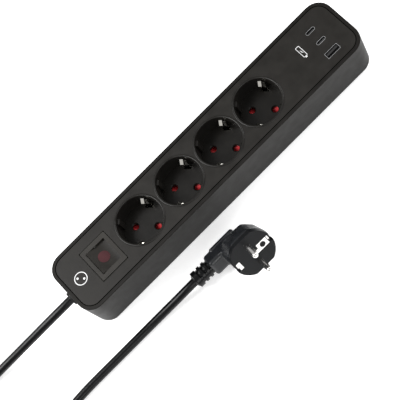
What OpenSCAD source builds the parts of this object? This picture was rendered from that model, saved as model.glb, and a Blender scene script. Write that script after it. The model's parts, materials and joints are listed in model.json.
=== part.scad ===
// Four-way power strip with a rocker switch, a USB charger, a mains cord and an angled plug.
// Millimetres. Origin: centre of the underside of the housing. +X runs along the strip,
// from the cord end to the USB end, and +Z points up out of the sockets.

/* [Housing] */
// Length of the housing
body_l = 306; // [300:1:330]
// Width of the housing at its top
body_w = 57.5; // [57:0.5:64]
// Height of the housing
body_h = 42; // [42:0.5:44]
// Plan radius of the housing corners
corner_r = 14; // [12:0.5:16]
// Draft of the side walls, in degrees
draft = 2; // [1:0.25:3]
// Thickness of the housing walls
wall_t = 2.4; // [2:0.1:2.8]
// Thickness of the housing floor
floor_t = 2.5; // [2:0.1:3]
// Width of the rim round the top plate
rim_w = 3; // [2.6:0.1:3.4]
// Width of the groove between the rim and the top plate
groove_w = 0.75; // [0.5:0.05:1]
// Thickness of the top plate
plate_t = 2.6; // [2.4:0.1:3]

/* [Sockets] */
// Distance from one socket to the next
pitch = 43.7; // [43.6:0.1:46]
// Position of the first socket along the strip
first_x = -72.3; // [-74:0.1:-70]
// Radius of the socket recess
recess_r = 19.75; // [19.5:0.05:20]
// Depth of the socket recess
recess_d = 17.5; // [17:0.25:18]
// Thickness of the recess floor
recess_floor_t = 2.5; // [2:0.1:3]
// Radius of the pin holes
pin_hole_r = 2.7; // [2.6:0.05:2.9]
// Distance between the two pins
pin_gap = 19; // [19:0.1:19.5]

/* [Switch] */
// Position of the switch along the strip
switch_x = -112.4; // [-114:0.1:-112]
// Size of the switch bezel along the strip
bezel_l = 26.3; // [25.5:0.1:27]
// Size of the switch bezel across the strip
bezel_w = 31.3; // [30.5:0.1:32]
// Half of the angle that the rocker tips through, in degrees
rocker_tilt = 11; // [9:0.5:12]

/* [Charger] */
// Position of the row of USB ports along the strip
usb_x = 127.8; // [126:0.1:128]
// Position of the first small port across the strip
usb_c1_y = 11.5; // [11:0.1:12]
// Position of the second small port across the strip
usb_c2_y = -1; // [-1.5:0.1:0]
// Position of the large port across the strip
usb_a_y = -14.4; // [-15:0.1:-14]

/* [Cord and plug] */
// Diameter of the mains cord
cord_d = 7.2; // [7:0.1:7.6]
// Height at which the cord leaves the housing
cord_z = 28; // [26:0.5:28]
// Radius of the plug face
plug_r = 18.7; // [18.5:0.1:18.8]
// Radius of the plug pins
plug_pin_r = 2.4; // [2.35:0.05:2.4]
// Length of the plug pins
plug_pin_l = 19; // [18.5:0.1:19]

/* [Hidden] */
$fn = 48;
hull_fn = 32;

// Colours
case_black = [0.13, 0.13, 0.13];
inner_black = [0.10, 0.10, 0.10];
shutter_red = [0.55, 0.08, 0.08];
brass = [0.80, 0.65, 0.30];
nickel = [0.80, 0.79, 0.76];
board_green = [0.10, 0.35, 0.18];

// Levels of the housing
plate_z = body_h - plate_t;
ledge_t = 2.6;
ledge_w = 1.75;
top_x = body_l / 2;
top_y = body_w / 2;
run_gap = 0.1;
fuse = 0.4;
edge_r = 0.8;

// Sockets
recess_z = body_h - recess_d;
well_z = recess_z - recess_floor_t;
well_r = recess_r + 1.25;
lip_mid_r = recess_r + 0.95;
pin_off = pin_gap / 2;
pin_hole_edge = 0.6;
peg_r = 1.6;
shutter_lo = 17.8;
shutter_hi = well_z - 0.3;
washer_z = 16.2;
clip_foot_z = 12.5;
strip_t = 0.8;
leaf_t = 0.7;
bar_w = 5;
bar_z = 3.6;
bar_x0 = first_x - 17;
bar_x1 = first_x + 3 * pitch + 16;
pin_y = pin_off * sqrt(0.5);

// Screws that hold the top plate to the base
screw_spots = [for (y = [-1, 1]) each [[-141, 18.5 * y], [-6.75, 19.3 * y], [141, 18.5 * y]]];
boss_r = 3.2;
boss_z = 12;
screw_r = 1.45;

// Keyholes for hanging the strip on two wall screws
keyhole_x = 103;
keyhole_r = 4.3;
keyhole_slot_r = 2.2;
keyhole_run = 7;
keyhole_roof_z = 7.2;

// Switch, measured from the rocker's axis
rocker_z = body_h - 1.7;
rocker_r = 9.55;
rocker_w = 22.5;
opening_l = 19.4;
opening_w = 22.9;
shaft_r = 1.5;
bezel_gap = 0.5;
pole_y = 7;
blade_z = 27.2;
blade_tilt = 8;
switch_floor_z = 15;

// Charger
board_z = 26.4;
board_t = 1.6;
board_x0 = 96;
board_x1 = 136;
post_spots = [[100, 17.5], [100, -17.5], [131.5, 18], [114, -17.5]];
port_z = body_h - 0.5;

// Insulated wires inside the housing
wire_r = 1.1;

// Cord clamp
clamp_x0 = -145.5;
clamp_x1 = -138.5;
clamp_screw_y = 7.4;

// Cord: the routes, point by point, and the coil that stores the middle of its length
cord_r = cord_d / 2;
coil_x = -315;
coil_y = -36.8;
coil_turns_r = [33, 40.6, 48.2];
strip_route = [
    [-136, 0, cord_z], [-144, 0, cord_z], [-153, 0, cord_z], [-163, 0.1, 27.7], [-174, 0.9, 26.1],
    [-186, 2.3, 23.2], [-198, 4, 19.4], [-210, 5.9, 15.4], [-222, 7.8, 11.3], [-234, 9.5, 7.8],
    [-246, 10.6, 5.4], [-258, 11.2, 4], [-272, 11.4, 3.7], [-290, 11.4, 3.7]
];
plug_route = [
    [-296, -73.4, 11], [-282, -72.8, 10.4], [-268, -71, 8.4], [-254, -67.4, 6], [-241, -63, 4.4],
    [-228, -58.7, 3.8], [-215, -55.8, 3.7], [-202, -54.6, 3.7], [-188, -54.2, 3.7], [-172, -54.2, 3.7],
    [-156, -54.2, 3.7], [-140, -54.2, 3.7], [-126, -54.3, 3.9], [-113, -54.8, 5], [-101, -55.7, 7],
    [-90, -56.6, 9.2], [-82, -57, 10.3], [-74, -57.1, 10.5]
];

// Plug: the middle of its face, and the turn that lays it on its side
plug_at = [-27.5, -81.6, 25.8];
plug_turn = 58;
plug_disc_t = 4.8;
plug_flat_y = 16.7;
plug_root_w = 3;
sleeve_x = 10;
cable_back = -28.9;
neck_r = 9.1;
relief_x0 = -48.6;
relief_x1 = -33;

// ---------- shared shapes ----------

// Upright prism with rounded corners: half sizes at its top, and how much smaller its foot is
module round_block(hx, hy, r, z0, z1, shrink = 0) {
    hull()
        for (x = [-1, 1], y = [-1, 1])
            translate([x * (hx - r), y * (hy - r), z0])
                cylinder(h = z1 - z0, r1 = r - shrink, r2 = r, $fn = hull_fn);
}

// Rectangular block from its two opposite corners
module block(a, b) {
    translate(a)
        cube(b - a);
}

// Puts its children in the frame of one socket, with X along the two pins
module in_socket(k) {
    translate([first_x + (k - 1) * pitch, 0, 0])
        rotate([0, 0, -45])
            children();
}

// Puts its children in the frame of the rocker's axis, tipped by an angle
module on_rocker(tilt) {
    translate([switch_x, 0, rocker_z])
        rotate([0, tilt, 0])
            children();
}

// Puts its children in the frame of the plug: X along its cable, Z out along its pins
module in_plug() {
    translate(plug_at)
        rotate([plug_turn, 0, 0])
            children();
}

// Round tube swept along a route
function unit(v) = v / norm(v);
function route_dir(p, i) =
    i == 0 ? unit(p[1] - p[0])
    : i == len(p) - 1 ? unit(p[i] - p[i - 1])
    : unit(unit(p[i + 1] - p[i]) + unit(p[i] - p[i - 1]));
function ring(centre, dir, r, n) =
    let (side = unit(cross(dir, [0, 0, 1])), up = cross(side, dir))
    [for (j = [0:n - 1]) centre + r * (cos(360 * j / n) * side + sin(360 * j / n) * up)];

module swept_tube(p, r, n = 10) {
    last = len(p) - 1;
    points = [for (i = [0:last]) each ring(p[i], route_dir(p, i), r, n)];
    sides = [
        for (i = [0:last - 1], j = [0:n - 1])
            let (a = i * n + j, b = i * n + (j + 1) % n)
            each [[a, b, b + n], [a, b + n, a + n]]
    ];
    start_cap = [[for (j = [n - 1:-1:0]) j]];
    end_cap = [[for (j = [0:n - 1]) last * n + j]];
    polyhedron(points = points, faces = concat(sides, start_cap, end_cap));
}

// ---------- housing ----------

module housing_outer() {
    foot_r = corner_r - body_h * tan(draft);
    hull()
        for (x = [-1, 1], y = [-1, 1])
            translate([x * (top_x - corner_r), y * (top_y - corner_r), 0]) {
                cylinder(h = edge_r, r1 = foot_r - edge_r, r2 = foot_r, $fn = hull_fn);
                translate([0, 0, edge_r])
                    cylinder(h = body_h - edge_r * 1.5, r1 = foot_r, r2 = corner_r, $fn = hull_fn);
                translate([0, 0, body_h - edge_r / 2])
                    cylinder(h = edge_r / 2, r1 = corner_r, r2 = corner_r - edge_r / 2, $fn = hull_fn);
            }
}

module keyhole_cut(x) {
    translate([x, 0, -1])
        cylinder(h = floor_t + 2, r = keyhole_r);
    block([x, -keyhole_slot_r, -1], [x + keyhole_run, keyhole_slot_r, floor_t + 1]);
    translate([x + keyhole_run, 0, -1])
        cylinder(h = floor_t + 2, r = keyhole_slot_r);
}

// Closed dome over a keyhole, so that a wall screw can't reach a live part
module keyhole_dome(x) {
    difference() {
        block([x - 6.5, -6.5, floor_t - fuse], [x + 11.5, 6.5, keyhole_roof_z]);
        block([x - 5.3, -5.3, floor_t - 1], [x + 10.3, 5.3, keyhole_roof_z - 1.2]);
    }
}

module bar_supports() {
    for (k = [0:2]) {
        x = first_x + (k + 0.5) * pitch;
        block([x - 1.5, -2.5, floor_t - fuse], [x + 1.5, 2.5, clip_foot_z - strip_t]);
        for (y = [-1, 1])
            block([x - 1.5, y * pin_y - 2, floor_t - fuse], [x + 1.5, y * pin_y + 2, bar_z]);
    }
}

module base_shell() {
    step_w = rim_w + ledge_w;
    color(case_black)
        difference() {
            union() {
                difference() {
                    housing_outer();
                    round_block(top_x - wall_t, top_y - wall_t, corner_r - wall_t,
                        floor_t, plate_z - ledge_t, (body_h - floor_t) * tan(draft));
                    round_block(top_x - step_w, top_y - step_w, corner_r - step_w,
                        plate_z - ledge_t - 1, plate_z + 1);
                    round_block(top_x - rim_w, top_y - rim_w, corner_r - rim_w, plate_z, body_h + 1);
                }
                for (p = screw_spots)
                    translate([p[0], p[1], floor_t - fuse])
                        cylinder(h = boss_z - floor_t + fuse, r = 4.4);
                block([clamp_x0, -10.5, floor_t - fuse], [clamp_x1, 10.5, cord_z - cord_r]);
                for (x = [-1, 1])
                    keyhole_dome(x * keyhole_x);
                bar_supports();
            }
            for (p = screw_spots)
                translate([p[0], p[1], -1]) {
                    cylinder(h = 20, r = screw_r + 0.2);
                    cylinder(h = 9, r = 3.2);
                }
            for (x = [-1, 1])
                keyhole_cut(x * keyhole_x);
            translate([-top_x - 5, 0, cord_z])
                rotate([0, 90, 0])
                    cylinder(h = 14, r = 6.1);
            for (y = [-1, 1])
                translate([(clamp_x0 + clamp_x1) / 2, y * clamp_screw_y, cord_z - cord_r - 9])
                    cylinder(h = 10, r = screw_r + 0.1);
        }
}

// Small port opening with round ends, long side along X
module stadium(l, w, z0, z1) {
    block([-(l - w) / 2, -w / 2, z0], [(l - w) / 2, w / 2, z1]);
    for (x = [-1, 1])
        translate([x * (l - w) / 2, 0, z0])
            cylinder(h = z1 - z0, r = w / 2);
}

module top_plate() {
    color(case_black)
        difference() {
            union() {
                round_block(top_x - rim_w - groove_w, top_y - rim_w - groove_w,
                    corner_r - rim_w - groove_w, plate_z, body_h);
                for (p = screw_spots)
                    translate([p[0], p[1], boss_z])
                        cylinder(h = plate_z - boss_z + fuse, r = boss_r);
                for (p = post_spots)
                    translate([p[0], p[1], board_z + board_t])
                        cylinder(h = plate_z - board_z - board_t + fuse, r = 2.2);
            }
            for (k = [0:3])
                translate([first_x + k * pitch, 0, plate_z - 1])
                    cylinder(h = plate_t + 2, r = well_r + run_gap, $fn = 96);
            for (p = screw_spots)
                translate([p[0], p[1], boss_z - 1])
                    cylinder(h = 15, r = screw_r + run_gap);
            for (p = post_spots)
                translate([p[0], p[1], board_z])
                    cylinder(h = 9, r = 1.1);
            translate([switch_x, 0, 0]) {
                block([-11.2, -14.4, plate_z - 1], [11.2, 14.4, body_h + 1]);
                block([-bezel_l / 2 - bezel_gap, -bezel_w / 2 - bezel_gap, plate_z + 1],
                    [bezel_l / 2 + bezel_gap, bezel_w / 2 + bezel_gap, body_h + 1]);
            }
            for (y = [usb_c1_y, usb_c2_y])
                translate([usb_x, y, 0])
                    stadium(9.5, 3.8, plate_z - 1, body_h + 1);
            block([usb_x - 6.8, usb_a_y - 3.1, plate_z - 1], [usb_x + 6.8, usb_a_y + 3.1, body_h + 1]);
        }
}

module housing_screws() {
    color(nickel)
        for (p = screw_spots)
            translate([p[0], p[1], 8]) {
                difference() {
                    translate([0, 0, -2.4])
                        cylinder(h = 2.4, r = 2.9);
                    block([-2.2, -0.4, -3], [2.2, 0.4, -1.4]);
                    block([-0.4, -2.2, -3], [0.4, 2.2, -1.4]);
                }
                cylinder(h = 16, r = screw_r);
            }
}

// ---------- sockets ----------

// Slot in the recess floor that the two fingers of an earth clip come up through
module finger_slot() {
    block([-2.3, 15.4, well_z - 1], [4, 18.9, recess_z + 1]);
}

module socket_well(k) {
    color(inner_black)
        in_socket(k) {
            difference() {
                union() {
                    translate([0, 0, well_z])
                        cylinder(h = recess_d + recess_floor_t, r = well_r, $fn = 96);
                    rotate_extrude($fn = 96)
                        intersection() {
                            translate([lip_mid_r, body_h - 0.5])
                                circle(r = 1.1);
                            translate([recess_r - 1, body_h])
                                square([3, 2]);
                        }
                }
                translate([0, 0, recess_z])
                    cylinder(h = recess_d + 2, r = recess_r, $fn = 96);
                for (x = [-1, 1])
                    translate([x * pin_off, 0, 0]) {
                        translate([0, 0, well_z - 1])
                            cylinder(h = recess_floor_t + 2, r = pin_hole_r);
                        translate([0, 0, recess_z - pin_hole_edge])
                            cylinder(h = pin_hole_edge, r1 = pin_hole_r, r2 = pin_hole_r + pin_hole_edge);
                    }
                for (side = [0, 1])
                    mirror([0, side, 0])
                        finger_slot();
            }
            for (turn = [0, 180])
                rotate([0, 0, turn])
                    block([recess_r - 2.1, -2.2, recess_z - fuse], [recess_r + fuse, 2.2, body_h - 2]);
            translate([0, 0, washer_z - 0.3])
                cylinder(h = well_z - washer_z + 0.3 + fuse, r = peg_r);
            rotate([0, 0, 120])
                translate([6.2, 0, 16.8])
                    cylinder(h = well_z - 16.8 + fuse, r = 0.7);
        }
}

// Red safety shutter: its two ramps cover the pin holes until both pins push it round
module shutter(k) {
    color(shutter_red)
        in_socket(k)
            difference() {
                union() {
                    translate([0, 0, shutter_lo])
                        cylinder(h = shutter_hi - shutter_lo, r = 3.7);
                    for (turn = [0, 180])
                        rotate([0, 0, turn])
                            translate([2.5, 0, 0])
                                rotate([90, 0, 90])
                                    linear_extrude(height = 10.2)
                                        polygon([
                                            [-3.6, shutter_lo], [3.6, shutter_lo], [3.6, shutter_hi],
                                            [1.2, shutter_hi], [-3.6, shutter_lo + 0.8]
                                        ]);
                }
                translate([0, 0, shutter_lo - 1])
                    cylinder(h = 6, r = peg_r + 0.08);
            }
}

// Return spring: one turn round the peg, one leg against the post and one under the shutter
module shutter_spring(k) {
    wire_r = 0.2;
    turn_r = 2.4;
    steps = 16;
    rise = 0.5;
    turn = [
        for (i = [0:steps])
            let (a = 90 - 360 * i / steps)
            [turn_r * cos(a), turn_r * sin(a), rise * i / steps]
    ];
    color(nickel)
        in_socket(k)
            translate([0, 0, washer_z + 0.85])
                swept_tube(concat([[-4.6, 5, 0]], turn, [[8.5, turn_r, rise]]), wire_r, 8);
}

module shutter_washers() {
    color(nickel)
        for (k = [1:4])
            in_socket(k)
                translate([0, 0, washer_z])
                    difference() {
                        cylinder(h = 0.6, r = 3.3);
                        translate([0, 0, -1])
                            cylinder(h = 3, r = peg_r + 0.03);
                    }
}

// One finger of an earth clip: a side profile (distance from the socket's axis, height)
module clip_finger(profile, from, to) {
    translate([from, 0, 0])
        rotate([90, 0, 90])
            linear_extrude(height = to - from)
                polygon(profile);
}

module earth_clip(k) {
    foot = clip_foot_z;
    flared = [
        [17.9, foot], [18.6, foot], [18.6, 28], [16.4, 35], [19.35, 37.6],
        [18.9, 38.2], [15.4, 35.3], [17.9, 28]
    ];
    leaf = [
        [17.9, foot], [18.6, foot], [18.6, 26], [16.9, 33], [18.2, 37.8],
        [17.5, 38], [16.1, 33], [17.9, 26]
    ];
    color(nickel)
        in_socket(k)
            difference() {
                union() {
                    block([-2.5, -18.6, foot], [2.5, 18.6, foot + leaf_t]);
                    for (side = [0, 1])
                        mirror([0, side, 0]) {
                            block([-1.9, 14.5, foot], [3.6, 18.6, foot + leaf_t]);
                            clip_finger(flared, -1.9, 0.8);
                            clip_finger(leaf, 1.6, 3.6);
                        }
                }
                translate([0, 0, foot - 1])
                    cylinder(h = 3, r = 1.53);
            }
}

// ---------- conductors ----------

module earth_bar() {
    color(brass)
        difference() {
            block([bar_x0, -bar_w / 2, clip_foot_z - strip_t], [bar_x1, bar_w / 2, clip_foot_z]);
            for (k = [1:4])
                in_socket(k)
                    translate([0, 0, clip_foot_z - 2])
                        cylinder(h = 3, r = 1.53);
        }
}

module earth_rivets() {
    color(nickel)
        for (k = [1:4])
            in_socket(k)
                translate([0, 0, clip_foot_z]) {
                    translate([0, 0, -strip_t - 0.6])
                        cylinder(h = 0.6, r = 2.3);
                    translate([0, 0, -strip_t])
                        cylinder(h = strip_t + leaf_t, r = 1.5);
                    translate([0, 0, leaf_t])
                        cylinder(h = 0.6, r = 2.3);
                }
}

module contact_bar(y) {
    block([bar_x0, y - bar_w / 2, bar_z], [bar_x1, y + bar_w / 2, bar_z + strip_t]);
}

module line_bar() {
    color(brass)
        contact_bar(-pin_y);
}

module neutral_bar() {
    color(brass)
        contact_bar(pin_y);
}

// Spring clips that grip the pins of one pole, one in each socket
module pin_clips(side) {
    foot = bar_z + strip_t;
    color(brass)
        for (k = [0:3])
            translate([first_x + k * pitch + side * pin_y, -side * pin_y + 2.5, 0])
                rotate([90, 0, 0])
                    linear_extrude(height = 5)
                        polygon([
                            [-2.9, foot], [2.9, foot], [2.9, 13], [3.6, 15], [3.1, 15.2], [2.3, 13.1],
                            [2.3, foot + 0.6], [-2.3, foot + 0.6], [-2.3, 13.1], [-3.1, 15.2],
                            [-3.6, 15], [-2.9, 13]
                        ]);
}

module line_clips() {
    pin_clips(1);
}

module neutral_clips() {
    pin_clips(-1);
}

// ---------- switch ----------

module switch_housing() {
    color(inner_black)
        translate([switch_x, 0, 0])
            difference() {
                union() {
                    block([-11, -14.2, switch_floor_z], [11, 14.2, plate_z + 1 + fuse]);
                    round_block(bezel_l / 2, bezel_w / 2, 1, plate_z + 1, body_h + 0.3);
                }
                block([-opening_l / 2, -opening_w / 2, switch_floor_z + 2],
                    [opening_l / 2, opening_w / 2, body_h + 1]);
                translate([0, 13.4, rocker_z])
                    rotate([90, 0, 0])
                        cylinder(h = 26.8, r = shaft_r + 0.06);
                for (y = [-1, 1], x = [0, -6.8])
                    block([x - 0.5, y * pole_y - 2.2, switch_floor_z - 1], [x + 0.5, y * pole_y + 2.2, 18]);
            }
}

// The rocker's ends are arcs about its own axis, and its top is a shallow hollow
module rocker() {
    hollow_r = 37.4;
    color(case_black)
        on_rocker(rocker_tilt)
            difference() {
                union() {
                    rotate([90, 0, 0])
                        linear_extrude(height = rocker_w, center = true)
                            difference() {
                                circle(r = rocker_r, $fn = 96);
                                translate([0, hollow_r + 0.2])
                                    circle(r = hollow_r, $fn = 96);
                                translate([-20, -26])
                                    square([40, 20]);
                            }
                    for (y = [-1, 1])
                        translate([0, y * pole_y, -9])
                            cylinder(h = 4, r = 2.5);
                    for (side = [-1, 1])
                        rotate([side * 90, 0, 0])
                            translate([0, 0, rocker_w / 2 - fuse])
                                cylinder(h = 13.2 - rocker_w / 2, r = shaft_r);
                }
                translate([0, 0, -1.2])
                    cylinder(h = 5, r = 5.1);
                block([-2.4, -4.4, -5], [2.4, 4.4, 0]);
                for (y = [-1, 1])
                    translate([0, y * pole_y, -10])
                        cylinder(h = 6.5, r = 1.65);
            }
}

module rocker_lens() {
    color([0.45, 0.06, 0.08])
        on_rocker(rocker_tilt)
            translate([0, 0, -1.2])
                cylinder(h = 1.6, r = 5.02);
}

module neon_lamp() {
    color([0.85, 0.55, 0.40])
        on_rocker(rocker_tilt)
            translate([0, 0, -3.1]) {
                rotate([90, 0, 0])
                    cylinder(h = 5, r = 1.7, center = true);
                for (y = [-1, 1])
                    translate([0, y * 2.5, 0])
                        sphere(r = 1.68);
            }
}

module switch_plungers() {
    color([0.85, 0.85, 0.80])
        on_rocker(rocker_tilt)
            for (y = [-1, 1])
                translate([0, y * pole_y, -11.1]) {
                    cylinder(h = 5, r = 1.5);
                    sphere(r = 1.5);
                }
}

module plunger_springs() {
    turns = 3;
    steps = 12;
    rise = 2.1;
    turn_r = 1.25;
    last = turns * steps;
    helix = [
        for (i = [0:last])
            let (a = 360 * i / steps)
            [turn_r * cos(a), turn_r * sin(a), rise * i / last]
    ];
    color(nickel)
        on_rocker(rocker_tilt)
            for (y = [-1, 1])
                translate([0, y * pole_y, -5.85])
                    swept_tube(helix, 0.22, 6);
}

// Rocking contact blades: they tip the opposite way to the rocker
module switch_blades() {
    color(brass)
        translate([switch_x, 0, blade_z])
            rotate([0, -blade_tilt, 0])
                for (y = [-1, 1]) {
                    block([-7.6, y * pole_y - 2, -0.35], [7.6, y * pole_y + 2, 0.35]);
                    translate([-6.6, y * pole_y, -0.85])
                        cylinder(h = 0.7, r = 1.2);
                }
}

module switch_terminals() {
    color(brass)
        translate([switch_x, 0, 0])
            for (y = [-1, 1]) {
                block([-0.4, y * pole_y - 2, 8], [0.4, y * pole_y + 2, blade_z - 0.7]);
                block([-7.2, y * pole_y - 2, 8], [-6.4, y * pole_y + 2, 24.4]);
                translate([-6.8, y * pole_y, 24.2])
                    cylinder(h = 0.6, r = 1.2);
            }
}

// ---------- charger ----------

module charger_board() {
    color(board_green)
        difference() {
            block([board_x0, -20, board_z], [board_x1, 20.4, board_z + board_t]);
            for (p = post_spots)
                translate([p[0], p[1], board_z - 1])
                    cylinder(h = 4, r = 1.3);
        }
}

module charger_transformer() {
    color([0.75, 0.62, 0.20])
        translate([109, 2, 0]) {
            block([-8, -7, 12.4], [8, 7, 15.4]);
            block([-8, -7, 22.4], [8, 7, 25.4]);
            block([-8, -2.5, 15.3], [-5.5, 2.5, 22.5]);
            block([5.5, -2.5, 15.3], [8, 2.5, 22.5]);
            translate([0, 0, 15.3])
                cylinder(h = 7.2, r = 5.2);
            block([-6, -5, 25.3], [6, 5, board_z]);
        }
}

module charger_capacitors() {
    color([0.20, 0.22, 0.30])
        for (p = [[124, 12.5, 4.5], [124, 1, 4.5], [112, -11.5, 4]])
            translate([p[0], p[1], board_z - 14])
                difference() {
                    cylinder(h = 14, r = p[2]);
                    translate([0, 0, 11])
                        rotate_extrude()
                            translate([p[2] + 0.5, 0])
                                circle(r = 1, $fn = 16);
                }
}

module charger_screws() {
    color(nickel)
        for (p = post_spots)
            translate([p[0], p[1], board_z]) {
                difference() {
                    translate([0, 0, -1.3])
                        cylinder(h = 1.3, r = 1.9);
                    block([-1.4, -0.3, -2], [1.4, 0.3, -0.7]);
                    block([-0.3, -1.4, -2], [0.3, 1.4, -0.7]);
                }
                cylinder(h = 7, r = 1);
            }
}

module usb_a_shell() {
    color(nickel)
        translate([usb_x, usb_a_y, 0])
            difference() {
                block([-6.55, -2.85, board_z + board_t], [6.55, 2.85, port_z]);
                block([-6.25, -2.55, board_z + board_t + 1], [6.25, 2.55, port_z + 1]);
            }
}

module usb_a_tongue() {
    color([0.85, 0.85, 0.88])
        translate([usb_x, usb_a_y, 0]) {
            block([-6.1, -2.4, board_z + board_t + 1], [6.1, 2.4, board_z + board_t + 3]);
            block([-5.55, 0.1, board_z + board_t + 2.9], [5.55, 1.94, port_z - 1.2]);
        }
}

module usb_c_shells() {
    color(nickel)
        for (y = [usb_c1_y, usb_c2_y])
            translate([usb_x, y, 0])
                difference() {
                    stadium(8.94, 3.26, board_z + board_t, port_z);
                    stadium(8.34, 2.56, board_z + board_t + 1, port_z + 1);
                }
}

module usb_c_tongues() {
    color([0.08, 0.08, 0.08])
        for (y = [usb_c1_y, usb_c2_y])
            translate([usb_x, y, 0]) {
                block([-2.6, -1.1, board_z + board_t + 1], [2.6, 1.1, board_z + board_t + 5]);
                block([-3.2, -0.35, board_z + board_t + 4.9], [3.2, 0.35, port_z - 1]);
            }
}

// ---------- wires inside the housing ----------

// One pole's wires: cord to switch, switch to contact bar, and bar to charger
module pole_wires(side) {
    bar_top = bar_z + strip_t + wire_r;
    swept_tube([
        [-136, side * 2, cord_z], [-134.5, side * 2, cord_z], [-131, side * 5, 22],
        [-128, side * 8.4, 18], [-125, side * 8.6, 13], [-121.5, side * pole_y, 11],
        [switch_x - 8.4, side * pole_y, 11]
    ], wire_r, 8);
    swept_tube([
        [switch_x + 1.6, side * pole_y, 11], [-107, side * 7.6, 11.2], [-100, side * 8.8, 11.2],
        [-94, side * 8.4, 9.4], [-90.5, side * 7.4, 7], [bar_x0 + 0.6, side * pin_y, bar_top],
        [bar_x0 + 4, side * pin_y, bar_top]
    ], wire_r, 8);
    swept_tube([
        [bar_x1 - 4, side * pin_y, bar_top], [bar_x1 + 1, side * pin_y, bar_top + 0.4],
        [77, side * 9, 9], [84, side * 12, 13.5], [91, side * 14, 20], [97, side * 14, 24],
        [100, side * 14, board_z - wire_r], [102, side * 14, board_z - wire_r]
    ], wire_r, 8);
}

module brown_wires() {
    color([0.35, 0.18, 0.08])
        pole_wires(-1);
}

module blue_wires() {
    color([0.15, 0.30, 0.60])
        pole_wires(1);
}

module earth_wire() {
    bar_top = clip_foot_z + wire_r;
    color([0.55, 0.70, 0.15])
        swept_tube([
            [-136, 0, cord_z - 2], [-134.5, 0, cord_z - 2], [-131, 0, 18.5], [-128.5, 0, 13],
            [-124, 0, 10.5], [-115, 0, 10], [-105, 0, 10.4], [-97, 0, 11.6], [-92, 0, bar_top],
            [bar_x0 + 4, 0, bar_top]
        ], wire_r, 8);
}

// ---------- cord entry ----------

module cord_bushing() {
    color(inner_black)
        translate([0, 0, cord_z])
            rotate([0, 90, 0])
                difference() {
                    union() {
                        translate([0, 0, -top_x - 2.5])
                            cylinder(h = 7.5, r = 6);
                        translate([0, 0, -top_x + 4.4])
                            cylinder(h = 1.6, r = 8);
                    }
                    translate([0, 0, -top_x - 5])
                        cylinder(h = 20, r = cord_r + 0.15);
                }
}

module cord_clamp() {
    saddle_z = cord_z + 1;
    color(inner_black)
        difference() {
            block([clamp_x0, -10.5, saddle_z], [clamp_x1, 10.5, cord_z + cord_r + 2.6]);
            translate([clamp_x0 - 1, 0, cord_z])
                rotate([0, 90, 0])
                    cylinder(h = 9, r = cord_r + 0.1);
            for (y = [-1, 1])
                translate([(clamp_x0 + clamp_x1) / 2, y * clamp_screw_y, saddle_z - 1])
                    cylinder(h = 12, r = screw_r + 0.1);
        }
}

module clamp_screws() {
    color(nickel)
        for (y = [-1, 1])
            translate([(clamp_x0 + clamp_x1) / 2, y * clamp_screw_y, cord_z + cord_r + 2.6]) {
                difference() {
                    cylinder(h = 1.8, r = 2.7);
                    block([-2, -0.35, 0.9], [2, 0.35, 3]);
                    block([-0.35, -2, 0.9], [0.35, 2, 3]);
                }
                translate([0, 0, -15.4])
                    cylinder(h = 15.4, r = screw_r);
            }
}

// ---------- cord ----------

module cord_strip_side() {
    color(inner_black)
        swept_tube(strip_route, cord_r);
}

module cord_plug_side() {
    color(inner_black)
        swept_tube(plug_route, cord_r);
}

// The outer shape of the stored turns: three side by side, and two more lying on them
module cord_coil() {
    in_r = coil_turns_r[0] - cord_r - 0.1;
    out_r = coil_turns_r[2] + cord_r + 0.1;
    color(inner_black)
        translate([coil_x, coil_y, 0])
            rotate_extrude($fn = 96)
                polygon([
                    [in_r, 0.1], [out_r, 0.1], [out_r, 6.6], [out_r - cord_r, 8],
                    [coil_turns_r[1] + cord_r, 14], [coil_turns_r[0], 14], [in_r, 8]
                ]);
}

// Flexible tie round the coil
module cord_tie() {
    in_r = coil_turns_r[0] - cord_r - 0.3;
    out_r = coil_turns_r[2] + cord_r + 0.3;
    color(inner_black)
        translate([coil_x, coil_y, 0])
            rotate([0, 0, 180])
                translate([0, 6, 0])
                    rotate([90, 0, 0])
                        linear_extrude(height = 12)
                            difference() {
                                polygon([
                                    [in_r - 1.2, 0], [out_r + 1.2, 0], [out_r + 1.2, 7.6],
                                    [coil_turns_r[1] + 5, 15.3], [coil_turns_r[0] - 1, 15.3],
                                    [in_r - 1.2, 9]
                                ]);
                                polygon([
                                    [in_r, 0.05], [out_r, 0.05], [out_r, 7],
                                    [coil_turns_r[1] + 4.4, 14.2], [coil_turns_r[0] - 0.4, 14.2],
                                    [in_r, 8.4]
                                ]);
                            }
}

// ---------- plug ----------

// One-piece moulding: a rounded dome behind the face, and the neck that the cord goes into
module plug_body() {
    color(case_black)
        in_plug()
            difference() {
                union() {
                    hull() {
                        translate([0, 0, -plug_disc_t - 1])
                            cylinder(h = 1, r1 = plug_r - 0.9, r2 = plug_r, $fn = hull_fn);
                        for (x = [-21, -1], y = [-6, 6])
                            translate([x, y, -33])
                                sphere(r = 3, $fn = 20);
                        translate([7, 3, -22])
                            sphere(r = 7, $fn = 20);
                    }
                    hull() {
                        translate([-10, 0, cable_back])
                            rotate([0, 90, 0])
                                cylinder(h = 4, r = 8.6, $fn = hull_fn);
                        translate([relief_x1, 0, cable_back])
                            rotate([0, 90, 0])
                                cylinder(h = 8, r = neck_r, $fn = hull_fn);
                    }
                }
                for (x = [-1, 1])
                    block([x * 17.6 - 2.2, -3.4, -14], [x * 17.6 + 2.2, 3.4, 0]);
                for (y = [-1, 1])
                    pin_shank(y, -7, 0, plug_root_w + 0.06);
                translate([sleeve_x, 0, -7])
                    cylinder(h = 7, r = 3.3);
            }
}

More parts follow.
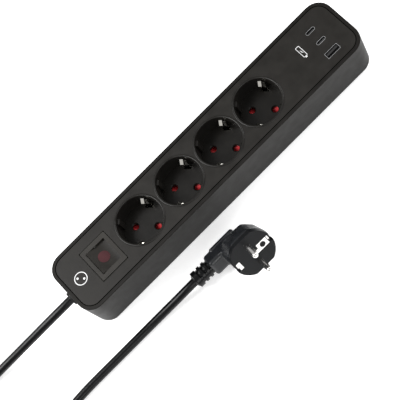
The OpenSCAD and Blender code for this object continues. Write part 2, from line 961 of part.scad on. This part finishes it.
// Round face disc with four flats, and pockets for the earth contacts
module plug_face() {
    color(case_black)
        in_plug()
            difference() {
                intersection() {
                    translate([0, 0, -plug_disc_t])
                        cylinder(h = plug_disc_t, r = plug_r + 0.3, $fn = 96);
                    block([-plug_r, -plug_flat_y, -plug_disc_t - 1], [plug_r, plug_flat_y, 1]);
                }
                for (y = [-1, 1])
                    pin_shank(y, -8, 1, plug_root_w + 0.06);
                translate([sleeve_x, 0, -8])
                    cylinder(h = 10, r = 3.3);
                for (x = [-1, 1]) {
                    block([x * 17.6 - 2.2, -3.4, -8], [x * 17.6 + 2.2, 3.4, 1]);
                    block([x * 14 - 1.6, -3.3, -3.1], [x * 14 + 1.6, 3.3, -0.9]);
                }
                block([-16, -3.7, -1.1], [-12.8, 3.7, 1]);
                block([5, -3.5, -1.1], [15, 3.5, 1]);
                block([2.3, -3.5, -1.1], [5.1, 0.1, 1]);
            }
}

// Square shank that holds a pin in the moulding, from z0 to z1
module pin_shank(side, z0, z1, w) {
    translate([0, side * pin_off, 0])
        block([-w / 2, -w / 2, z0], [w / 2, w / 2, z1]);
}

module plug_pins() {
    color(nickel)
        in_plug()
            for (y = [-1, 1]) {
                pin_shank(y, -6.5, 0.5, plug_root_w);
                translate([0, y * pin_off, 0]) {
                    cylinder(h = plug_pin_l - 2, r = plug_pin_r);
                    translate([0, 0, plug_pin_l - 2])
                        cylinder(h = 2, r1 = plug_pin_r, r2 = 1.2);
                }
            }
}

// Earth contacts: each has a spring side and a tab let into the face, and one tab carries the
// sleeve for a socket with an earth pin
module plug_earth_contact() {
    color(nickel)
        in_plug()
            difference() {
                union() {
                    for (x = [-1, 1]) {
                        block([x * 16.3 - 0.5, -3.2, -13.8], [x * 16.3 + 0.5, 3.2, -2.2]);
                        block([x * 14.85 - 1.95, -3.2, -3], [x * 14.85 + 1.95, 3.2, -2.2]);
                        block([x * 13.4 - 0.5, -3.2, -3], [x * 13.4 + 0.5, 3.2, -0.6]);
                    }
                    block([-15.9, -3.6, -1], [-12.9, 3.6, -0.2]);
                    block([5.1, -3.4, -1], [14.9, 3.4, -0.2]);
                    block([2.4, -3.4, -1], [5.2, 0, -0.2]);
                    translate([sleeve_x, 0, -6.9])
                        cylinder(h = 6.7, r = 3.2);
                }
                translate([sleeve_x, 0, -8])
                    cylinder(h = 10, r = 2.5);
            }
}

module plug_strain_relief() {
    rib_n = 3;
    rib_step = (relief_x1 - relief_x0) / rib_n;
    color(case_black)
        in_plug()
            translate([relief_x0, 0, cable_back])
                rotate([0, 90, 0])
                    difference() {
                        union() {
                            cylinder(h = relief_x1 - relief_x0, r = 5.8);
                            for (i = [0:rib_n - 1])
                                translate([0, 0, i * rib_step])
                                    cylinder(h = rib_step * 0.66, r = 7.3);
                        }
                        translate([0, 0, -1])
                            cylinder(h = 5, r = cord_r + 0.15);
                    }
}

base_shell();
top_plate();
for (k = [1:4]) {
    socket_well(k);
    shutter(k);
    shutter_spring(k);
    earth_clip(k);
}
shutter_washers();
earth_bar();
earth_rivets();
line_bar();
neutral_bar();
line_clips();
neutral_clips();
switch_housing();
rocker();
rocker_lens();
neon_lamp();
switch_plungers();
plunger_springs();
switch_blades();
switch_terminals();
charger_board();
charger_transformer();
charger_capacitors();
charger_screws();
usb_a_shell();
usb_a_tongue();
usb_c_shells();
usb_c_tongues();
brown_wires();
blue_wires();
earth_wire();
cord_bushing();
cord_clamp();
clamp_screws();
housing_screws();
cord_strip_side();
cord_coil();
cord_tie();
cord_plug_side();
plug_body();
plug_face();
plug_pins();
plug_earth_contact();
plug_strain_relief();
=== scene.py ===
"""The looks of the four-way power strip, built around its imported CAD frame."""

import json
import math

import bmesh
import bpy
from mathutils import Matrix, Vector


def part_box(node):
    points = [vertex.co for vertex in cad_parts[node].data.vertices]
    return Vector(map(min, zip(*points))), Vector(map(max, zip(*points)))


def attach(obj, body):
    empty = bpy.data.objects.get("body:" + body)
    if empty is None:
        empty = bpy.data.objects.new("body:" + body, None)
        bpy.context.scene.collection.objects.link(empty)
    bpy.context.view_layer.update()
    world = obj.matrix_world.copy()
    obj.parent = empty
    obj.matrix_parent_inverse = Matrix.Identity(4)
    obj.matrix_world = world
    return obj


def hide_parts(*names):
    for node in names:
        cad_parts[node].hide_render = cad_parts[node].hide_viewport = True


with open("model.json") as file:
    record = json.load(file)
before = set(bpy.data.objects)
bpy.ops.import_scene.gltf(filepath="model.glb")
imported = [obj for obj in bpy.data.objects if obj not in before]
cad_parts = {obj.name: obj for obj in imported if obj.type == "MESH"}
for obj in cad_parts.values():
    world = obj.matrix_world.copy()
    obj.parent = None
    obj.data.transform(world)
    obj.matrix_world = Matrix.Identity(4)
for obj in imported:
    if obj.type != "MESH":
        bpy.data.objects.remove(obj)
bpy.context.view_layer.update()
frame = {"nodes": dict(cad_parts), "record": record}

MM = 0.001
NODES = frame["nodes"]
SLOT_OF = {part["node"]: part["material_slot"] for part in frame["record"]["subparts"]}

# The plug: the middle of its face, and the turn that lays it on its side
PLUG_AT = Vector((-27.5, -81.6, 25.8)) * MM
PLUG_TURN = math.radians(58)

# In the plug's own frame, in millimetres, with the face at 0 and the pins along +Z: the radius of
# the face, how far its two flats are from the middle, and how far behind it the cord runs
PLUG_R = 18.7
PLUG_FLAT = 16.7
CABLE_BACK = -28.9

# ---------- camera ----------


def make_camera():
    """A long lens, tipped 25 degrees from straight down, with the strip rising to the right."""
    distance, tip, roll = 1.245, math.radians(25), math.radians(45)
    aim = Vector((-0.0277, -0.0248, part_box("base_shell")[1].z))
    back = Vector((0, -math.sin(tip), math.cos(tip)))
    level = Vector((1, 0, 0))
    above = back.cross(level)
    right = math.cos(roll) * level - math.sin(roll) * above
    up = back.cross(right)
    data = bpy.data.cameras.new("camera")
    data.sensor_width, data.lens = 36, 144
    camera = bpy.data.objects.new("camera", data)
    camera.matrix_world = Matrix.Translation(aim + distance * back) @ Matrix(
        (right, up, back)
    ).transposed().to_4x4()
    bpy.context.scene.collection.objects.link(camera)
    bpy.context.scene.camera = camera


make_camera()

# ---------- mesh helpers ----------


def add_object(name, data):
    """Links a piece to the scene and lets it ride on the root."""
    obj = bpy.data.objects.new(name, data)
    bpy.context.scene.collection.objects.link(obj)
    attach(obj, "root")
    return obj


def shade(mesh, angle=32):
    """Smooth shading with creases at the sharper edges."""
    mesh.shade_smooth()
    mesh.set_sharp_from_angle(angle=math.radians(angle))


def mesh_from(name, verts, faces, angle=32):
    """A mesh with its normals facing out."""
    bm = bmesh.new()
    made = [bm.verts.new(v) for v in verts]
    for f in faces:
        bm.faces.new([made[i] for i in f])
    bmesh.ops.recalc_face_normals(bm, faces=bm.faces)
    mesh = bpy.data.meshes.new(name)
    bm.to_mesh(mesh)
    bm.free()
    shade(mesh, angle)
    return mesh


def loft(rings, closed=False):
    """Vertices and faces of a skin over rings with equal point counts, capped unless closed."""
    n = len(rings[0])
    verts = [p for ring in rings for p in ring]
    spans = len(rings) if closed else len(rings) - 1
    faces = []
    for i in range(spans):
        a, b = i * n, (i + 1) % len(rings) * n
        faces += [(a + j, a + (j + 1) % n, b + (j + 1) % n, b + j) for j in range(n)]
    if not closed:
        faces += [tuple(range(n)), tuple((len(rings) - 1) * n + j for j in range(n))]
    return verts, faces


def circle(r, n, centre=(0, 0)):
    """Points of a circle."""
    angles = [2 * math.pi * i / n for i in range(n)]
    return [(centre[0] + r * math.cos(a), centre[1] + r * math.sin(a)) for a in angles]


def rounded_rect(hx, hy, r, steps, centre):
    """Points of a rounded rectangle, anticlockwise from the right."""
    points = []
    for i, (sx, sy) in enumerate(((1, 1), (-1, 1), (-1, -1), (1, -1))):
        for k in range(steps + 1):
            a = math.radians(90 * i + 90 * k / steps)
            x = sx * (hx - r) + r * math.cos(a)
            y = sy * (hy - r) + r * math.sin(a)
            points.append((centre[0] + x, centre[1] + y))
    return points


def at_height(points, z):
    """Flat points, lifted to a height."""
    return [(x, y, z) for x, y in points]


def moved(verts, matrix):
    """Points taken through a matrix."""
    return [matrix @ Vector(v) for v in verts]


# ---------- materials ----------

MATERIALS = {}
NOISE_MIDDLE = (0.3, 0.7)


def noise_nodes(tree, size, detail):
    """Adds a noise, size in metres, and returns it."""
    place = tree.nodes.new("ShaderNodeTexCoord")
    noise = tree.nodes.new("ShaderNodeTexNoise")
    noise.inputs["Scale"].default_value = 1 / size
    noise.inputs["Detail"].default_value = detail
    tree.links.new(place.outputs["Object"], noise.inputs["Vector"])
    return noise


def ramp(tree, source, dark, light):
    """Colours the middle of a noise from dark to light."""
    node = tree.nodes.new("ShaderNodeValToRGB")
    first, last = node.color_ramp.elements
    first.position, last.position = NOISE_MIDDLE
    first.color, last.color = (*dark, 1), (*light, 1)
    tree.links.new(source, node.inputs["Fac"])
    return node


def to_range(tree, source, low, high):
    """Maps the middle of a noise to low..high."""
    node = tree.nodes.new("ShaderNodeMapRange")
    node.inputs["From Min"].default_value, node.inputs["From Max"].default_value = NOISE_MIDDLE
    node.inputs["To Min"].default_value = low
    node.inputs["To Max"].default_value = high
    tree.links.new(source, node.inputs["Value"])
    return node.outputs["Result"]


def material(slot, dark, light, rough, grain=0.4, depth=0.02, patch=9.0, **settings):
    """A moulded or metal surface: patchy colour, roughness that varies, and a fine grain.

    Sizes are in millimetres. The settings are constants of the shader's own sockets.
    """
    mat = bpy.data.materials.new(slot)
    mat.use_nodes = True
    tree = mat.node_tree
    shader = tree.nodes["Principled BSDF"]
    fine = noise_nodes(tree, grain * MM, 3)
    bump = tree.nodes.new("ShaderNodeBump")
    bump.inputs["Distance"].default_value = depth * MM
    bump.inputs["Strength"].default_value = 0.6
    tree.links.new(fine.outputs["Fac"], bump.inputs["Height"])
    clouds = noise_nodes(tree, patch * MM, 5)
    colour = ramp(tree, clouds.outputs["Fac"], dark, light)
    tree.links.new(colour.outputs["Color"], shader.inputs["Base Color"])
    tree.links.new(
        to_range(tree, clouds.outputs["Fac"], rough[0], rough[1]),
        shader.inputs["Roughness"],
    )
    tree.links.new(bump.outputs["Normal"], shader.inputs["Normal"])
    for socket, value in settings.items():
        shader.inputs[socket.replace("_", " ")].default_value = value
    MATERIALS[slot] = mat


def grey(level, tint=(1, 1, 1)):
    """A grey of one level, or a tinted one."""
    return tuple(level * t for t in tint)


def make_materials():
    warm, cool = (1.10, 1.0, 0.86), (0.90, 0.98, 1.14)
    satin = {"Specular_IOR_Level": 0.2}
    material("shell_plastic", grey(0.006, warm), grey(0.009, warm), (0.40, 0.50),
             Specular_IOR_Level=0.12)
    material("plate_plastic", grey(0.009, warm), grey(0.012, warm), (0.36, 0.46), **satin)
    material("rocker_plastic", grey(0.012, warm), grey(0.016, warm), (0.34, 0.42), **satin)
    material("inner_plastic", grey(0.007, warm), grey(0.010, warm), (0.30, 0.38), **satin)
    material("bezel_plastic", grey(0.016, warm), grey(0.020, warm), (0.34, 0.42), **satin)
    material("fittings_plastic", grey(0.010), grey(0.014), (0.45, 0.55), **satin)
    material("red_plastic", (0.40, 0.022, 0.026), (0.52, 0.034, 0.038), (0.20, 0.28))
    material("red_lens", (0.034, 0.010, 0.012), (0.052, 0.015, 0.017), (0.30, 0.38),
             Specular_IOR_Level=0.3)
    material("lamp_glass", (0.80, 0.62, 0.50), (0.90, 0.75, 0.65), (0.04, 0.08),
             Transmission_Weight=0.6)
    material("brass", (0.62, 0.43, 0.16), (0.78, 0.58, 0.25), (0.24, 0.36), Metallic=1.0)
    material("clip_nickel", (0.80, 0.77, 0.70), (0.92, 0.90, 0.84), (0.16, 0.26), Metallic=1.0)
    material("plug_nickel", (0.72, 0.71, 0.69), (0.88, 0.87, 0.85), (0.14, 0.24), Metallic=1.0)
    material("port_steel", (0.66, 0.66, 0.67), (0.80, 0.80, 0.81), (0.20, 0.30), Metallic=1.0)
    material("port_plastic", grey(0.008), grey(0.012), (0.40, 0.50))
    material("board", (0.010, 0.085, 0.032), (0.016, 0.120, 0.045), (0.25, 0.35))
    material("transformer_tape", (0.55, 0.38, 0.05), (0.65, 0.46, 0.08), (0.30, 0.40))
    material("capacitor_sleeve", (0.012, 0.014, 0.035), (0.020, 0.022, 0.050), (0.20, 0.30))
    material("white_plastic", (0.62, 0.62, 0.57), (0.70, 0.70, 0.66), (0.35, 0.45))
    material("brown_pvc", (0.075, 0.022, 0.006), (0.100, 0.032, 0.010), (0.30, 0.40))
    material("blue_pvc", (0.010, 0.050, 0.240), (0.016, 0.070, 0.300), (0.30, 0.40))
    material("green_yellow_pvc", (0.20, 0.38, 0.02), (0.62, 0.60, 0.03), (0.30, 0.40), patch=4)
    material("cord_pvc", grey(0.0015, cool), grey(0.003, cool), (0.22, 0.30), depth=0.03,
             Specular_IOR_Level=0.2)
    material("tie_plastic", grey(0.010), grey(0.014), (0.35, 0.45))
    material("plug_pvc", grey(0.009, cool), grey(0.012, cool), (0.24, 0.32), depth=0.012,
             Specular_IOR_Level=0.4)
    material("plug_face_plastic", grey(0.004, cool), grey(0.006, cool), (0.34, 0.42), depth=0.012,
             Specular_IOR_Level=0.2)
    material("screw_steel", (0.58, 0.58, 0.58), (0.70, 0.70, 0.70), (0.28, 0.40), Metallic=1.0)
    material("print", grey(0.60), grey(0.70), (0.50, 0.60))


make_materials()


def paint(obj, slot):
    """Gives a piece one material and no other."""
    obj.data.materials.clear()
    obj.data.materials.append(MATERIALS[slot])


# ---------- cord ----------

CORD_R = 3.6 * MM
COIL_AT = Vector((-0.315, -0.0368, 0))
COIL_TURNS_R = (0.033, 0.0406, 0.0482)
STRIP_ROUTE = [
    (-0.136, 0, 0.028), (-0.144, 0, 0.028), (-0.153, 0, 0.028), (-0.163, 0.0001, 0.0277),
    (-0.174, 0.0009, 0.0261), (-0.186, 0.0023, 0.0232), (-0.198, 0.004, 0.0194),
    (-0.210, 0.0059, 0.0154), (-0.222, 0.0078, 0.0113), (-0.234, 0.0095, 0.0078),
    (-0.246, 0.0106, 0.0054), (-0.258, 0.0112, 0.004), (-0.272, 0.0114, 0.0037),
    (-0.290, 0.0114, 0.0037),
]
PLUG_ROUTE = [
    (-0.296, -0.0734, 0.011), (-0.282, -0.0728, 0.0104), (-0.268, -0.071, 0.0084),
    (-0.254, -0.0674, 0.006), (-0.241, -0.063, 0.0044), (-0.228, -0.0587, 0.0038),
    (-0.215, -0.0558, 0.0037), (-0.202, -0.0546, 0.0037), (-0.188, -0.0542, 0.0037),
    (-0.172, -0.0542, 0.0037), (-0.156, -0.0542, 0.0037), (-0.140, -0.0542, 0.0037),
    (-0.126, -0.0543, 0.0039), (-0.113, -0.0548, 0.005), (-0.101, -0.0557, 0.007),
    (-0.090, -0.0566, 0.0092), (-0.082, -0.057, 0.0103), (-0.074, -0.0571, 0.0105),
]


def smooth_step(t):
    """Rises smoothly from 0 to 1 as t does, and stays level outside."""
    t = max(0.0, min(1.0, t))
    return t * t * (3 - 2 * t)


def coil_points():
    """Three turns inwards on the floor, then a turn and a half on top of them."""
    per_turn, low_turns, top_turns = 24, 3, 1.5
    floor_z, top_z, top_r = 0.0037, 0.0105, 0.0366
    outer, inner = COIL_TURNS_R[-1], COIL_TURNS_R[0]
    points = []
    steps = int(per_turn * (low_turns + top_turns))
    for i in range(1, steps):
        turn = i / per_turn
        r = outer - (outer - inner) * min(turn / low_turns, 1)
        climb = smooth_step((turn - low_turns) / 0.5)
        r += (top_r - inner) * climb
        z = floor_z + (top_z - floor_z) * climb
        a = math.pi / 2 + 2 * math.pi * turn
        points.append(COIL_AT + Vector((r * math.cos(a), r * math.sin(a), z)))
    return points


def through(points, per_span=4):
    """A smooth line through points, each span cut into equal parts."""
    ends = [2 * points[0] - points[1], *points, 2 * points[-1] - points[-2]]
    line = []
    for a, b, c, d in zip(ends, ends[1:], ends[2:], ends[3:]):
        for i in range(per_span):
            t = i / per_span
            cubic = 3 * b - a - 3 * c + d
            square = 2 * a - 5 * b + 4 * c - d
            line.append(b + 0.5 * t * (c - a + t * (square + t * cubic)))
    return [*line, points[-1]]


def tube_rings(line, r, around=20):
    """Rings of a round tube along a line, each turned as little as possible from the last."""
    rings = []
    side = Vector((0, 0, 1))
    for i, place in enumerate(line):
        along = (line[min(i + 1, len(line) - 1)] - line[max(i - 1, 0)]).normalized()
        side = (side - side.dot(along) * along).normalized()
        other = along.cross(side)
        rings.append([place + x * side + y * other for x, y in circle(r, around)])
    return rings


def make_cord(line):
    """The whole mains cord, as one tube from the strip through its coil to the plug."""
    mesh = mesh_from("mains_cord", *loft(tube_rings(line, CORD_R)), 50)
    cord = add_object("mains_cord", mesh)
    paint(cord, "cord_pvc")
    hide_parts("cord_strip_side", "cord_coil", "cord_plug_side")
    return cord


cord_line = through(
    [Vector(p) for p in STRIP_ROUTE] + coil_points() + [Vector(p) for p in PLUG_ROUTE]
)
cord = make_cord(cord_line)

# ---------- CAD nodes ----------


def crease_group():
    """A node group that shades smooth and keeps the edges sharper than 32 degrees."""
    group = bpy.data.node_groups.new("creases", "GeometryNodeTree")
    group.interface.new_socket("Geometry", in_out="INPUT", socket_type="NodeSocketGeometry")
    group.interface.new_socket("Geometry", in_out="OUTPUT", socket_type="NodeSocketGeometry")
    nodes, links = group.nodes, group.links
    start, end = nodes.new("NodeGroupInput"), nodes.new("NodeGroupOutput")
    faces = nodes.new("GeometryNodeSetShadeSmooth")
    faces.domain = "FACE"
    faces.inputs["Shade Smooth"].default_value = True
    edges = nodes.new("GeometryNodeSetShadeSmooth")
    edges.domain = "EDGE"
    angle = nodes.new("GeometryNodeInputMeshEdgeAngle")
    limit = nodes.new("FunctionNodeCompare")
    limit.operation = "LESS_THAN"
    limit.inputs[1].default_value = math.radians(32)
    links.new(start.outputs[0], faces.inputs["Geometry"])
    links.new(faces.outputs["Geometry"], edges.inputs["Geometry"])
    links.new(angle.outputs["Unsigned Angle"], limit.inputs[0])
    links.new(limit.outputs[0], edges.inputs["Shade Smooth"])
    links.new(edges.outputs["Geometry"], end.inputs[0])
    return group


CREASES = crease_group()


def soften(node, width):
    """Gives a CAD node smooth shading, and edges rounded by a width in millimetres."""
    obj = NODES[node]
    stored = obj.data.attributes.get("custom_normal")
    if stored:
        obj.data.attributes.remove(stored)
    weld = obj.modifiers.new("weld", "WELD")
    weld.merge_threshold = 0.002 * MM
    planes = obj.modifiers.new("planes", "DECIMATE")
    planes.decimate_type = "DISSOLVE"
    planes.angle_limit = math.radians(0.4)
    if width:
        edges = obj.modifiers.new("edges", "BEVEL")
        edges.width = width * MM
        edges.segments = 2
        edges.limit_method = "ANGLE"
        edges.angle_limit = math.radians(40)
    obj.modifiers.new("creases", "NODES").node_group = CREASES
    flats = obj.modifiers.new("flats", "WEIGHTED_NORMAL")
    flats.keep_sharp = True


EDGE_WIDTHS = {
    "base_shell": 0.35, "top_plate": 0.3, "switch_housing": 0.35, "rocker": 0.4,
    "plug_face": 0.5, "cord_tie": 0.4, "cord_bushing": 0.5,
}


def finish_cad_nodes():
    """Every CAD node takes its slot's material; some get slightly rounded edges."""
    for node, obj in NODES.items():
        paint(obj, SLOT_OF[node])
        soften(node, EDGE_WIDTHS.get(node, 0))


finish_cad_nodes()

# ---------- plug ----------

IN_PLUG = Matrix.Translation(PLUG_AT) @ Matrix.Rotation(PLUG_TURN, 4, "X")


def ball_points():
    """Directions spread over a sphere."""
    bm = bmesh.new()
    bmesh.ops.create_icosphere(bm, subdivisions=2, radius=1)
    points = [v.co.copy() for v in bm.verts]
    bm.free()
    return points


BALL = ball_points()


def hull_of_balls(bm, balls):
    """Adds the convex hull of balls (x, y, z, r in millimetres, plug frame) to a bmesh."""
    points = [(Vector((x, y, z)) + r * p) * MM for x, y, z, r in balls for p in BALL]
    made = [bm.verts.new(p) for p in points]
    hulled = bmesh.ops.convex_hull(bm, input=made)
    inside = {g for g in hulled["geom_interior"] if isinstance(g, bmesh.types.BMVert)}
    bmesh.ops.delete(bm, geom=list(inside), context="VERTS")


def apply_modifiers(obj):
    """Replaces an object's mesh with what its modifiers make of it."""
    graph = bpy.context.evaluated_depsgraph_get()
    made = bpy.data.meshes.new_from_object(obj.evaluated_get(graph))
    obj.modifiers.clear()
    obj.data = made


def face_outline(r, flat, n=48):
    """Outline of the plug's face: a circle with a flat at the top and one at the bottom."""
    return [(x, max(-flat, min(flat, y))) for x, y in circle(r, n)]


def both_sides(corners):
    """Every ball, and its mirror image on the other side of the plug."""
    return [(x, side * y, z, r) for x, y, z, r in corners for side in (-1, 1)]


def corner_balls(xs, y, zs, r):
    """Balls at the corners of a block, from its ends along the cord, half width and heights."""
    return both_sides([(x, y, z, r) for x in xs for z in zs])


def cut_flat(x, y):
    """Moves a rim point beyond one of the dome's four slanting facets back onto it."""
    slant_x, slant_y, facet_out, facet_end = 0.682, 0.731, 17.2, 9
    over = slant_x * abs(x) + slant_y * abs(y) - facet_out
    if over > 0 and abs(y) > facet_end:
        x -= math.copysign(over * slant_x, x)
        y -= math.copysign(over * slant_y, y)
    return x, y


def make_plug_body():
    """Faceted body behind the face, the plate-shaped grip on its back, and the cord's neck."""
    bm = bmesh.new()
    edge, face_back, facets_from = 0.5, -5.3, -8.0
    outline = face_outline(PLUG_R - edge, PLUG_FLAT - edge)
    rim = [(x, y, face_back, edge) for x, y in outline]
    rim += [(*cut_flat(x, y), facets_from, edge) for x, y in outline]
    hull_of_balls(bm, rim + both_sides([
        (-7.9, 15.1, -12.5, edge), (-10.56, 12.13, -22.0, edge), (-18.26, 4.93, -26.4, edge),
        (-2.5, 11.5, -25.5, edge), (9.0, 10.0, -22.0, edge), (14.6, 6.0, -17.0, edge),
    ]))
    raised = [ball for ball in rim if ball[0] > -1.2]
    hull_of_balls(bm, raised + both_sides([
        (-0.8, 13.3, -21.5, edge), (-0.8, 10.0, -26.5, edge), (8.0, 12.8, -21.6, edge),
        (11.0, 11.3, -19.6, edge), (15.0, 8.6, -15.8, edge), (16.4, 5.0, -11.0, edge),
    ]))
    hull_of_balls(bm, corner_balls((-22.0, -1.0), 6.4, (-33.3, -33.0), 2.4))
    hull_of_balls(bm, corner_balls((-18.5, 0.0), 6.4, (-31.0, -22.0), 1.5))
    hull_of_balls(bm, corner_balls((-28.8, -14.0), 4.6, (-32.8, -23.6), 3.0))
    mesh = bpy.data.meshes.new("plug_moulding")
    bm.to_mesh(mesh)
    bm.free()
    mesh.transform(IN_PLUG)
    body = add_object("plug_moulding", mesh)
    skin = body.modifiers.new("skin", "REMESH")
    skin.mode = "VOXEL"
    skin.voxel_size = 0.4 * MM
    even = body.modifiers.new("even", "SMOOTH")
    even.factor, even.iterations = 0.5, 3
    bpy.context.view_layer.update()
    apply_modifiers(body)
    shade(body.data, 40)
    paint(body, "plug_pvc")
    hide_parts("plug_body")
    return body


# Where each rib of the strain relief starts and ends along the cord, in millimetres
RIBS = [(-47.6, -43.0), (-41.2, -38.2), (-36.4, -33.4)]


def relief_radius(x, turn):
    """Radius of the strain relief: ribs, with a web along its front and back."""
    core, peak, edge = 5.4, 7.2, 0.5
    web_share, web_from, web_soft = 0.86, 0.84, 0.08
    rise = max(
        smooth_step((x - a) / edge + 0.5) * smooth_step((b - x) / edge + 0.5) for a, b in RIBS
    )
    side = abs(math.cos(turn))
    web = smooth_step((side - web_from) / web_soft)
    return core + (peak - core) * max(rise, web_share * web)


def make_strain_relief():
    """Ribbed sleeve where the cord enters the plug, with slots on its two sides."""
    x0, x1, step, around = -48.6, -30.0, 0.2, 72
    tip_r, tip_rise, tip_length = 4.6, 0.9, 0.8
    rings = []
    count = round((x1 - x0) / step)
    for i in range(count + 1):
        x = x0 + i * step
        taper = smooth_step((x - x0) / tip_length)
        ring = []
        for j in range(around):
            turn = 2 * math.pi * j / around
            r = relief_radius(x, turn) if x > x0 + tip_length else tip_r + taper * tip_rise
            ring.append(Vector((x, r * math.sin(turn), CABLE_BACK + r * math.cos(turn))) * MM)
        rings.append(moved(ring, IN_PLUG))
    relief = add_object("ribbed_relief", mesh_from("ribbed_relief", *loft(rings), 50))
    paint(relief, "cord_pvc")
    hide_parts("plug_strain_relief")
    return relief


def make_plug_pins():
    """Two turned pins with round tips."""
    off_middle, r, length, root_r, sunk = 9.5, 2.4, 18.7, 1.5, 6.5
    profile = [(root_r, -sunk), (root_r, 0), (r, 0), (r, length - r)]
    profile += [(r * math.cos(a), length - r + r * math.sin(a))
                for a in [math.radians(10 * i) for i in range(1, 9)]]
    verts, faces = [], []
    for y in (-off_middle, off_middle):
        rings = [moved([(px * MM, (y + py) * MM, z * MM) for px, py in circle(pr, 40)], IN_PLUG)
                 for pr, z in profile]
        more_verts, more_faces = loft(rings)
        faces += [tuple(i + len(verts) for i in f) for f in more_faces]
        verts += more_verts
    pins = add_object("turned_pins", mesh_from("turned_pins", verts, faces))
    paint(pins, "plug_nickel")
    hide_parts("plug_pins")
    return pins


plug_pieces = [make_plug_body(), make_strain_relief(), make_plug_pins()]
plug_pieces += [NODES[n] for n in ("plug_face", "plug_earth_contact", "cord_bushing", "cord_tie")]

# ---------- printed marks ----------

PLATE_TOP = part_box("top_plate")[1].z
INK = 0.04 * MM


def printed(name, shapes):
    """Thin raised ink: each shape is one outline, or an outer and an inner one, in mm."""
    verts, faces = [], []
    for outer, *inner in shapes:
        low, high = at_height(outer, 0), at_height(outer, INK / MM)
        if inner:
            rings = [low, high, at_height(inner[0], INK / MM), at_height(inner[0], 0)]
            more_verts, more_faces = loft(rings, closed=True)
        else:
            more_verts, more_faces = loft([low, high])
        faces += [tuple(i + len(verts) for i in f) for f in more_faces]
        verts += [Vector((x * MM, y * MM, PLATE_TOP + z * MM)) for x, y, z in more_verts]
    mark = add_object(name, mesh_from(name, verts, faces, 30))
    paint(mark, "print")
    return mark


def make_marks():
    """A socket pictogram by the switch, and a battery with a flash by the ports."""
    x, y = socket = (-137.4, 0.0)
    dots = [[circle(0.95, 20, (x + 2.0 * s, y - 2.0 * s))] for s in (-1, 1)]
    printed("socket_mark", [[circle(5.6, 64, socket), circle(4.9, 64, socket)], *dots])
    x, y = charge = (111.0, 4.0)
    battery = [rounded_rect(1.9, 5.6, 0.8, 4, charge), rounded_rect(1.45, 5.15, 0.4, 4, charge)]
    tip = [rounded_rect(0.8, 0.45, 0.2, 3, (x, y - 6.3))]
    bolt = [(-0.9, 1.9), (0.1, -0.25), (-0.6, -0.25), (0.9, -2.1), (0.15, 0.15), (0.75, 0.15)]
    flash = [[(x + dx, y + dy) for dx, dy in bolt]]
    printed("charge_mark", [battery, tip, flash])


make_marks()

# ---------- light and floor ----------


def area_light(name, place, target, size, power):
    """A white soft box, size in metres and power in watts, turned towards a target."""
    data = bpy.data.lights.new(name, "AREA")
    data.shape = "RECTANGLE"
    data.size, data.size_y = size
    data.energy = power
    light = bpy.data.objects.new(name, data)
    light.location = place
    light.rotation_mode = "QUATERNION"
    light.rotation_quaternion = (Vector(target) - Vector(place)).to_track_quat("-Z", "Y")
    bpy.context.scene.collection.objects.link(light)


def make_stage():
    """A plain pale floor under soft boxes, brightest at the cord end."""
    half, below = 8, -0.3 * MM
    corners = [(-half, -half), (half, -half), (half, half), (-half, half)]
    mesh = mesh_from("floor", at_height(corners, below), [(0, 1, 2, 3)])
    floor = bpy.data.objects.new("floor", mesh)
    bpy.context.scene.collection.objects.link(floor)
    paper = bpy.data.materials.new("paper")
    paper.use_nodes = True
    tree = paper.node_tree
    noise = noise_nodes(tree, 2 * MM, 3)
    colour = ramp(tree, noise.outputs["Fac"], grey(0.92), grey(0.94))
    shader = tree.nodes["Principled BSDF"]
    tree.links.new(colour.outputs["Color"], shader.inputs["Base Color"])
    shader.inputs["Roughness"].default_value = 0.9
    tree.links.new(colour.outputs["Color"], shader.inputs["Emission Color"])
    shader.inputs["Emission Strength"].default_value = 0.46
    floor.data.materials.append(paper)
    world = bpy.data.worlds.new("studio")
    world.use_nodes = True
    world.node_tree.nodes["Background"].inputs["Color"].default_value = (1, 1, 1, 1)
    world.node_tree.nodes["Background"].inputs["Strength"].default_value = 0.5
    bpy.context.scene.world = world
    area_light("left_box", (-0.85, 0.5, 1.05), (-0.2, 0, 0), (0.9, 0.9), 27)
    area_light("front_box", (0.2, -1.3, 1.0), (0, -0.05, 0), (1.2, 0.7), 10)
    area_light("right_box", (1.3, 0.1, 0.8), (0, -0.05, 0), (0.9, 0.9), 12)
    scene = bpy.context.scene
    scene.view_settings.view_transform = "Standard"
    scene.view_settings.look = "None"


make_stage()
